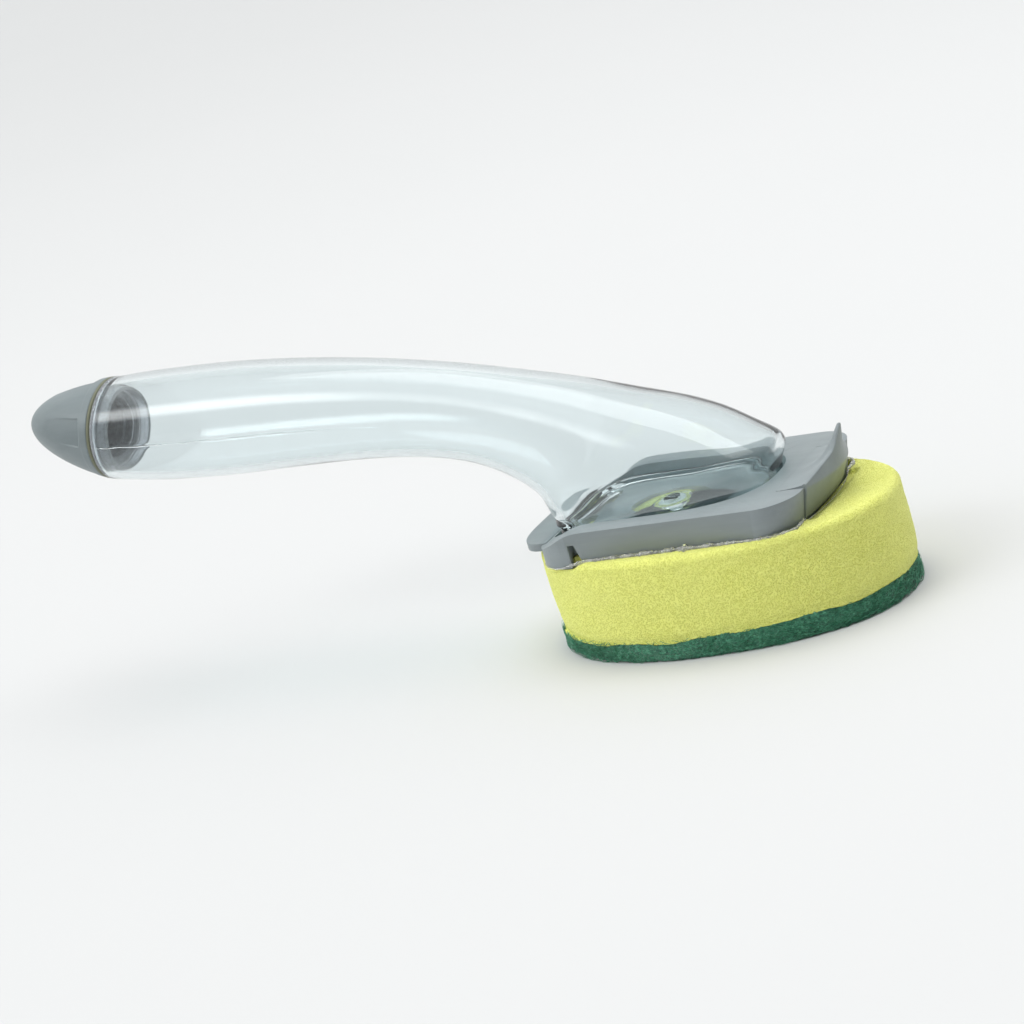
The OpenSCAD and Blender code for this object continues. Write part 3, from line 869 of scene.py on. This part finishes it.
def tab():
    ys = TW * np.sin(np.radians(np.linspace(-90, 90, 61)))
    ys[0], ys[-1] = -TW, TW
    rings = []
    for y in ys:
        rx, rz = float(rim_x(y)), float(rim_z(y))
        x0, z0 = 23.73, float(z_top(23.73))
        outer = [(float(tab_x(y, z)), z) for z in np.linspace(26.5, 33.8, 12)]
        xo = float(tab_x(y, 33.8))
        up_ = [(xo + (rx - xo) * f**1.6, 33.8 + (rz - 33.8) * f) for f in np.linspace(0, 1, 13)[1:-1]]
        rim = [(rx - 0.02, rz - 0.12), (rx - 0.2, rz + 0.0), (rx - 0.55, rz + 0.05), (rx - 0.9, rz - 0.08)]
        inner = []
        for f in np.linspace(1, 0, 24):
            x = x0 + (rx - 1.1 - x0) * f
            inner.append((x, z0 + (rz - 0.25 - z0) * f**2.2))
        under = [(x0, z0 - 1.5), (25.7, z0 - 1.5), (27.2, z0 - 1.6), (28.3, z0 - 1.9), (29.0, z0 - 2.6), (29.5, z0 - 3.6), (29.9, 30.0), (30.0, 28.2), (30.05, 26.5)]
        rings.append([(x, y, z) for x, z in outer + up_ + rim + inner + under])
    G = np.array(rings)
    n, m = G.shape[:2]
    ob = make("front_tab", G.reshape(-1, 3), grid_faces(n, m, False, True))
    bm = bmesh.new()
    bm.from_mesh(ob.data)
    bm.verts.ensure_lookup_table()
    for k in (0, n - 1):
        bm.faces.new([bm.verts[k * m + j] for j in range(m)])
    bmesh.ops.recalc_face_normals(bm, faces=bm.faces)
    bmesh.ops.triangulate(bm, faces=[f for f in bm.faces if len(f.verts) > 4])
    bm.to_mesh(ob.data)
    bm.free()
    lean(ob)
    ob.data.polygons.foreach_set("use_smooth", [True] * len(ob.data.polygons))
    ob.data.set_sharp_from_angle(angle=math.radians(50))
    return ob


finish_piece(tab(), "grey", "tab", "grey_plastic", "release_tab")

# ------------------------------------------------------------------ sponge

NA = 420
ANG = np.linspace(0, 2 * math.pi, NA, endpoint=False)
PCX = -3.9


def pad_curve(o=0.0, n=NA):
    a = np.linspace(0, 2 * math.pi, 3000, endpoint=False)
    c, s_ = np.cos(a), np.sin(a)
    P = np.c_[PCX + (np.where(c < 0, 43.9, 51.7) - o) * spow(c, 2 / 2.2), (33.2 - o) * spow(s_, 2 / 2.2)]
    return P


def polar(poly):
    """Radius of a closed outline about the pad's centre, at each angle of ANG."""
    d = np.asarray(poly) - [PCX, 0]
    a = np.arctan2(d[:, 1], d[:, 0]) % (2 * math.pi)
    r = np.linalg.norm(d, axis=1)
    k = np.argsort(a)
    a, r = a[k], r[k]
    return np.interp(ANG, np.r_[a[-1] - 2 * math.pi, a, a[0] + 2 * math.pi], np.r_[r[-1], r, r[0]])


def dense(poly, step=0.2):
    P = np.r_[poly, poly[:1]]
    out = []
    for a, b in zip(P[:-1], P[1:]):
        k = max(1, int(np.linalg.norm(b - a) / step))
        for j in range(k):
            out.append(a + (b - a) * j / k)
    return np.array(out)


R_PAD = polar(pad_curve())
COS = np.cos(ANG)


def cut_front(R, x):
    """The outline R, cut off flat at x."""
    return np.where(COS > 0.05, np.minimum(R, (x - PCX) / np.maximum(COS, 0.05)), R)


R_BASE = cut_front(polar(dense(base_outline(0))), 29.45)
R_HOLLOW = polar(dense(hollow_outline(0.35, x1=27.3)))
PAD_T, FOAM_TOP = 5.2, 26.8


SAG_X = -5.0


def split_height(x, y):
    """Height of the line between foam and scourer, slightly wavy and lower at the rear."""
    rear = 1 - float(sstep(-30, -10, x))
    sag = math.exp(-((x - SAG_X) / 8.0) ** 2) if y < 0 else 0.0
    return PAD_T + 0.35 - 1.25 * rear - 1.15 * sag + 0.5 * nz((x, y, 0), 0.085, 21.0, 3) + 0.2 * nz((x, y, 9), 0.5, 4.0, 2)


def foam():
    rows = []
    cs, sn = np.cos(ANG), np.sin(ANG)

    def add(r, z):
        r = np.broadcast_to(r, NA).astype(float)
        z = np.broadcast_to(z, NA).astype(float)
        rows.append(np.c_[PCX + r * cs, r * sn, z])

    edge = np.array([split_height(PCX + r * c, r * s_) for r, c, s_ in zip(R_PAD, cs, sn)])
    out = R_PAD - R_BASE
    rho = np.clip(out - 0.5, 0.45, 2.1)
    w = sstep(0.9, 2.6, out)
    top = 25.15 + (FOAM_TOP - 25.15) * w
    # bottom, hidden by the scourer
    for f in (0.15, 0.45, 0.75, 0.9):
        add(R_PAD * f, np.maximum(PAD_T, 0))
    add(R_PAD - 2.4, PAD_T)
    add(R_PAD - 1.3, edge * 0.4 + PAD_T * 0.6)
    add(R_PAD - 0.6, edge * 0.85 + PAD_T * 0.15)
    # side wall: pulled in slightly at the glue line, a little fuller in the middle
    for f in np.linspace(0, 1, 34):
        z = edge + (top - rho - edge) * f
        inset = 0.5 * (1 - sstep(0, 0.14, f)) - 0.25 * math.sin(math.pi * f)
        lean_ = 0.9 * (1 - f) ** 1.2 * sstep(0.2, 1.0, -cs)
        add(R_PAD - inset - lean_ - 0.25, z)
    # rounded top edge
    for a in np.linspace(0, 90, 9)[1:]:
        a = math.radians(a)
        add(R_PAD - 0.25 - rho * (1 - math.cos(a)), top - rho + rho * math.sin(a))
    # top face in to the groove that takes the base's skirt
    r0 = R_PAD - 0.25 - rho
    r1 = np.minimum(R_BASE + 1.3, r0 - 0.05)
    for f in np.linspace(0, 1, 9)[1:]:
        add(r0 + (r1 - r0) * f, top)
    r2 = np.minimum(R_BASE + 0.55, r1 - 0.05); add(r2, top - 0.3 * w)
    r3 = np.minimum(R_BASE + 0.3, r2 - 0.05); add(r3, 25.1 - 0.4 * w)
    r4 = np.minimum(R_BASE + 0.2, r3 - 0.05); add(r4, 25.05 - 1.65 * w)
    r5 = np.minimum(R_BASE - 0.8, r4 - 0.3); add(r5, 25.05 - 1.85 * w)
    r6 = np.minimum(R_HOLLOW + 0.05, r5 - 0.1); add(r6, 25.05 - 1.65 * w)
    r7 = np.minimum(R_HOLLOW, r6 - 0.05); add(r7, 25.5)
    add(r7 - 0.25, 27.0)
    add(r7 - 0.85, 27.42)
    for f in np.linspace(0.96, 0.04, 30):
        add((r7 - 0.85) * f, 27.45)
    V = np.concatenate(rows)
    # room for the nozzle, and for the foot of the tab
    d = np.hypot(V[:, 0] - VX, V[:, 1])
    top = V[:, 2] > 26
    V[:, 2] -= np.where(top, 2.6 * (1 - sstep(5.2, 7.5, d)), 0)
    tabz = (V[:, 0] > 26.6) & (V[:, 0] < 33.4) & (np.abs(V[:, 1]) < 17.0) & (V[:, 2] > 25.2)
    V[tabz, 2] = np.minimum(V[tabz, 2], 25.5 + 1.3 * sstep(31.9, 33.4, V[tabz, 0]))
    toe = (V[:, 0] > -40.6) & (V[:, 0] < -34.2) & (np.abs(V[:, 1]) < 15.6) & (V[:, 2] > 26.5)
    V[toe, 2] = np.minimum(V[toe, 2], 27.1)
    n = len(rows)
    faces = grid_faces(n, NA, False, True)
    V = np.r_[V, [[PCX, 0, PAD_T]], [[PCX, 0, 27.45 - 2.6 * (1 - float(sstep(5.2, 7.5, abs(PCX - VX))))]]]
    b_i, t_i = len(V) - 2, len(V) - 1
    last = (n - 1) * NA
    for j in range(NA):
        k = (j + 1) % NA
        faces.append([j, b_i, k])
        faces.append([last + j, last + k, t_i])
    ob = make("sponge_block", V, faces)
    recalc(ob)
    mod = ob.modifiers.new("fine", "SUBSURF")
    mod.subdivision_type = "SIMPLE"
    mod.levels = mod.render_levels = 1
    apply_mods(ob)
    # small uneven surface of cut foam, moved along the normal
    me = ob.data
    co = np.empty(len(me.vertices) * 3)
    no = np.empty(len(me.vertices) * 3)
    me.vertices.foreach_get("co", co)
    me.vertices.foreach_get("normal", no)
    co, no = co.reshape(-1, 3), no.reshape(-1, 3)
    mm = co / S
    amp = np.array([0.10 * nz(p, 1.6, 2.0, 3) + 0.13 * nz(p, 0.12, 7.0, 2) for p in mm])
    hid = (np.abs(mm[:, 2] - 23.4) < 0.6) | (mm[:, 2] < PAD_T + 0.03)
    amp[hid] = 0
    inside = (mm[:, 2] > 26.9)
    amp[inside] = np.minimum(amp[inside], 0.0)
    co += no * (amp * S)[:, None]
    me.vertices.foreach_set("co", co.ravel())
    me.update()
    me.polygons.foreach_set("use_smooth", [True] * len(me.polygons))
    return ob


sponge = finish_piece(foam(), "foam", "head", "yellow_foam", "foam_sponge")

# ------------------------------------------------------------------ scouring pad


def pad():
    cs, sn = np.cos(ANG), np.sin(ANG)
    rows = []

    def add(r, z):
        r = np.broadcast_to(r, NA).astype(float)
        z = np.broadcast_to(z, NA).astype(float)
        rows.append(np.c_[PCX + r * cs, r * sn, z])

    px_, py_ = PCX + R_PAD * cs, R_PAD * sn
    R = R_PAD - 0.55 + 0.40 * np.exp(-((px_ - SAG_X) / 9.0) ** 2) * (py_ < 0)
    R = R - 0.75 * np.exp(-((px_ + 32) / 8.0) ** 2) * (py_ < 0) - 0.45 * np.exp(-((px_ - 48) / 6.0) ** 2)
    edge = np.array([split_height(PCX + r * c, r * s_) for r, c, s_ in zip(R_PAD, cs, sn)])
    low = np.array([0.55 + 0.5 * abs(nz((PCX + r * c, r * s_, 3), 0.11, 13.0, 3)) for r, c, s_ in zip(R_PAD, cs, sn)])
    for f in np.linspace(0.03, 0.93, 26):
        add(R * f, 0.06)
    add(R - 0.9, 0.06)
    add(R - 0.35, low * 0.35)
    for f in np.linspace(0, 1, 15):
        add(R - 0.12 * math.cos(f * math.pi * 2), low + (edge - 0.12 - low) * f)
    add(R - 0.5, edge - 0.03)
    add(R - 1.2, edge * 0.4 + PAD_T * 0.6 - 0.06)
    for f in (0.9, 0.75, 0.45, 0.15):
        add(R * f, PAD_T - 0.06)
    n = len(rows)
    V = np.concatenate(rows)
    faces = grid_faces(n, NA, False, True)
    V = np.r_[V, [[PCX, 0, 0.06]], [[PCX, 0, PAD_T - 0.06]]]
    b_i, t_i = len(V) - 2, len(V) - 1
    last = (n - 1) * NA
    for j in range(NA):
        k = (j + 1) % NA
        faces.append([j, b_i, k])
        faces.append([last + j, last + k, t_i])
    ob = make("scourer_pad", V, faces)
    recalc(ob)
    mod = ob.modifiers.new("fine", "SUBSURF")
    mod.subdivision_type = "SIMPLE"
    mod.levels = mod.render_levels = 1
    apply_mods(ob)
    me = ob.data
    co = np.empty(len(me.vertices) * 3)
    no = np.empty(len(me.vertices) * 3)
    me.vertices.foreach_get("co", co)
    me.vertices.foreach_get("normal", no)
    co, no = co.reshape(-1, 3), no.reshape(-1, 3)
    mm = co / S
    amp = np.array([0.24 * nz(p, 1.3, 31.0, 4) + 0.22 * nz(p, 0.22, 17.0, 2) for p in mm])
    amp[mm[:, 2] < 0.3] *= 0.3
    co += no * (amp * S)[:, None]
    co[:, 2] = np.clip(co[:, 2], 0.00001, None)
    me.vertices.foreach_set("co", co.ravel())
    me.update()
    me.polygons.foreach_set("use_smooth", [True] * len(me.polygons))
    return ob


scourer = finish_piece(pad(), "scourer", "head", "green_scourer", "scouring_pad")


def fibres(count=2600, seed=5):
    """Short bent fibres lying in and standing a little out of the scourer's edge."""
    rng = np.random.default_rng(seed)
    arr = np.r_[0, np.cumsum(np.hypot(*(np.diff(np.c_[PCX + R_PAD * np.cos(ANG), R_PAD * np.sin(ANG)], axis=0).T)))]
    total = arr[-1] + 0.6
    V, F = [], []
    K, SIDES = 6, 3
    for _ in range(count):
        s0 = rng.uniform(0, total)
        length = rng.uniform(1.6, 4.6)
        slope = rng.normal(0, 0.55)
        z0 = rng.uniform(0.25, PAD_T - 0.1)
        bend = rng.normal(0, 0.8)
        outw = rng.uniform(-0.5, 0.12)
        arch = rng.uniform(0.05, 0.42)
        rad = rng.uniform(0.045, 0.085)
        pts = []
        for k in range(K):
            f = k / (K - 1)
            s = (s0 + length * (f - 0.5)) % total
            a = np.interp(s, arr, ANG)
            r = np.interp(s, arr, R_PAD) - 0.55 + outw + arch * math.sin(math.pi * f)
            z = z0 + slope * length * (f - 0.5) + bend * (f - 0.5) ** 2 * 2
            z = min(max(z, 0.12), PAD_T + 0.35)
            pts.append((PCX + r * math.cos(a), r * math.sin(a), z))
        pts = np.array(pts)
        b0 = len(V)
        for k in range(K):
            d = pts[min(k + 1, K - 1)] - pts[max(k - 1, 0)]
            d /= np.linalg.norm(d) + 1e-9
            n1 = np.cross(d, (0.13, 0.21, 1.0)); n1 /= np.linalg.norm(n1)
            n2 = np.cross(d, n1)
            rr = rad * (0.45 if k in (0, K - 1) else 1.0)
            for j in range(SIDES):
                a = 2 * math.pi * j / SIDES
                V.append(pts[k] + (n1 * math.cos(a) + n2 * math.sin(a)) * rr)
        for k in range(K - 1):
            for j in range(SIDES):
                j2 = (j + 1) % SIDES
                F.append([b0 + k * SIDES + j, b0 + k * SIDES + j2, b0 + (k + 1) * SIDES + j2, b0 + (k + 1) * SIDES + j])
        F.append([b0 + j for j in range(SIDES)][::-1])
        F.append([b0 + (K - 1) * SIDES + j for j in range(SIDES)])
    V = np.array(V)
    V[:, 2] = np.clip(V[:, 2], 0.02, None)
    return make("scourer_fibres", V, F)


finish_piece(fibres(), "fibre", "head", "green_scourer")

# ------------------------------------------------------------------ glue bead


def glue():
    """Set glue squeezed out under the skirt: an uneven bead with lumps and thin spots."""
    R = cut_front(polar(dense(base_outline(-0.05))), 29.6)
    O = dense(np.c_[PCX + R * COS, R * np.sin(ANG)], 0.28)
    front = (np.abs(O[:, 1]) < 17.2) & (O[:, 0] > 20)
    fx = np.array([float(tab_x(y, 27.0)) - 0.24 * 7.3 + 0.30 for y in O[:, 1]])
    k = sstep(17.2, 15.6, np.abs(O[:, 1]))
    O[front, 0] = (O[:, 0] + (np.maximum(fx, O[:, 0]) - O[:, 0]) * k)[front]
    P = O
    T = np.roll(P, -1, 0) - np.roll(P, 1, 0)
    T /= np.linalg.norm(T, axis=1)[:, None] + 1e-9
    N = np.c_[T[:, 1], -T[:, 0]]
    m = 12
    V = []
    L = len(P)
    for p, nn in zip(P, N):
        side = float(sstep(-36, -24, p[0]))
        tabby = float(1 - sstep(15.6, 17.6, abs(p[1]))) * (p[0] > 20)
        lump = 0.40 + 1.1 * abs(nz((p[0], p[1], 0), 0.33, 41.0, 3)) + 1.0 * max(0, nz((p[0], p[1], 5), 0.9, 3.0, 2))
        lump *= 1 - 0.45 * float(sstep(4, 20, p[0]))
        k = (0.12 + 0.88 * side) * (1 - 0.80 * tabby)
        w, h = (0.30 + 0.85 * lump) * k, (0.40 + 0.62 * lump) * k
        z = 25.2 + (26.72 - 25.2) * side - 0.75 * tabby + 0.12 * lump * side
        for j in range(m):
            a = 2 * math.pi * j / m
            rr = 1 + 0.22 * (1 - 0.8 * tabby) * nz((p[0] + j, p[1], j * 1.7), 1.1, 8.0, 2)
            d = max(0.36 * w + w * 0.72 * math.cos(a) * rr, 0.02)
            V.append([p[0] + nn[0] * d, p[1] + nn[1] * d, z + h * 0.72 * math.sin(a) * rr])
    ob = make("glue_squeeze", np.array(V), grid_faces(L, m, True, True))
    recalc(ob)
    return ob


finish_piece(glue(), "glue", "head", "clear_glue", "glue_bead")

# ------------------------------------------------------------------ stage and light

Rf = 6.0
fl = [(0.0, 0.0, -0.05)]
ring_n = 96
for rr in (150.0, 400.0, 1200.0, 3000.0, Rf * 1000):
    for j in range(ring_n):
        a = 2 * math.pi * j / ring_n
        fl.append((rr * math.cos(a), rr * math.sin(a), -0.05))
ff = [[0, 1 + j, 1 + (j + 1) % ring_n] for j in range(ring_n)]
for k in range(4):
    b = 1 + k * ring_n
    ff += [[b + j, b + ring_n + j, b + ring_n + (j + 1) % ring_n, b + (j + 1) % ring_n] for j in range(ring_n)]
floor = make("floor", fl, ff)
floor.data.materials.append(MAT["floor"])

KEY_EL = math.radians(50)
KEY_UP, KEY_OUT = math.sin(KEY_EL), math.cos(KEY_EL)

world = bpy.data.worlds.new("studio")
scene.world = world
world.use_nodes = True
wt = world.node_tree
wt.nodes.clear()
wo = wt.nodes.new("ShaderNodeOutputWorld")
bg = wt.nodes.new("ShaderNodeBackground")
tc = wt.nodes.new("ShaderNodeTexCoord")


def w_dot(v):
    n = wt.nodes.new("ShaderNodeVectorMath")
    n.operation = "DOT_PRODUCT"
    n.inputs[1].default_value = v
    wt.links.new(tc.outputs["Generated"], n.inputs[0])
    return n.outputs["Value"]


def w_math(op, a, b=0.0):
    n = wt.nodes.new("ShaderNodeMath")
    n.operation = op
    for k, v in enumerate((a, b)):
        if isinstance(v, (int, float)):
            n.inputs[k].default_value = v
        else:
            wt.links.new(v, n.inputs[k])
    return n.outputs[0]


def w_step(v, lo, hi, a=0.0, b=1.0):
    n = wt.nodes.new("ShaderNodeMapRange")
    n.interpolation_type = "SMOOTHSTEP"
    for name, val in (("From Min", lo), ("From Max", hi), ("To Min", a), ("To Max", b)):
        n.inputs[name].default_value = val
    wt.links.new(v, n.inputs["Value"])
    return n.outputs["Result"]


# walls of the tent: dimmer where the camera stands, brighter overhead
level = w_math("SUBTRACT", w_step(w_dot((0, 0, 1)), 0.15, 1.0, 0.80, 1.42), w_step(w_dot((0.78, -0.62, -0.1)), -0.1, 0.92, 0.0, 0.68))
# a long soft strip, high on the camera's side
across = w_math("ABSOLUTE", w_dot((0, KEY_UP, KEY_OUT)))
strip = w_math("MULTIPLY", w_step(across, 0.05, 0.24, 1.0, 0.0), w_math("MULTIPLY", w_step(w_dot((-1, 0, 0)), 0.16, 0.44), w_step(w_dot((-1, 0, 0)), 0.70, 0.97, 1.0, 0.0)))
strip = w_math("MULTIPLY", strip, w_step(w_dot((0, -KEY_OUT, KEY_UP)), 0.1, 0.3))
level = w_math("ADD", level, w_math("MULTIPLY", strip, 4.1))
wt.links.new(level, bg.inputs["Strength"])
bg.inputs["Color"].default_value = (0.985, 0.998, 1.0, 1)
wt.links.new(bg.outputs["Background"], wo.inputs["Surface"])


def area(name, pos, target, sx, sy, radiance, color=(1, 1, 1)):
    d = bpy.data.lights.new(name, "AREA")
    d.shape = "RECTANGLE"
    d.size, d.size_y = sx, sy
    d.energy = radiance * math.pi * sx * sy
    d.color = color
    o = bpy.data.objects.new(name, d)
    o.location = pos
    o.rotation_euler = (Vector(target) - Vector(pos)).to_track_quat("-Z", "Y").to_euler()
    scene.collection.objects.link(o)
    return o


area("top", (0.05, 0.25, 1.3), (-0.04, 0, 0.05), 1.3, 0.8, 1.6)

scene.view_settings.view_transform = "Standard"
scene.view_settings.look = "None"
scene.cycles.use_denoising = True
scene.cycles.max_bounces = 20
scene.cycles.transmission_bounces = 20
scene.cycles.transparent_max_bounces = 24
scene.cycles.blur_glossy = 0.6
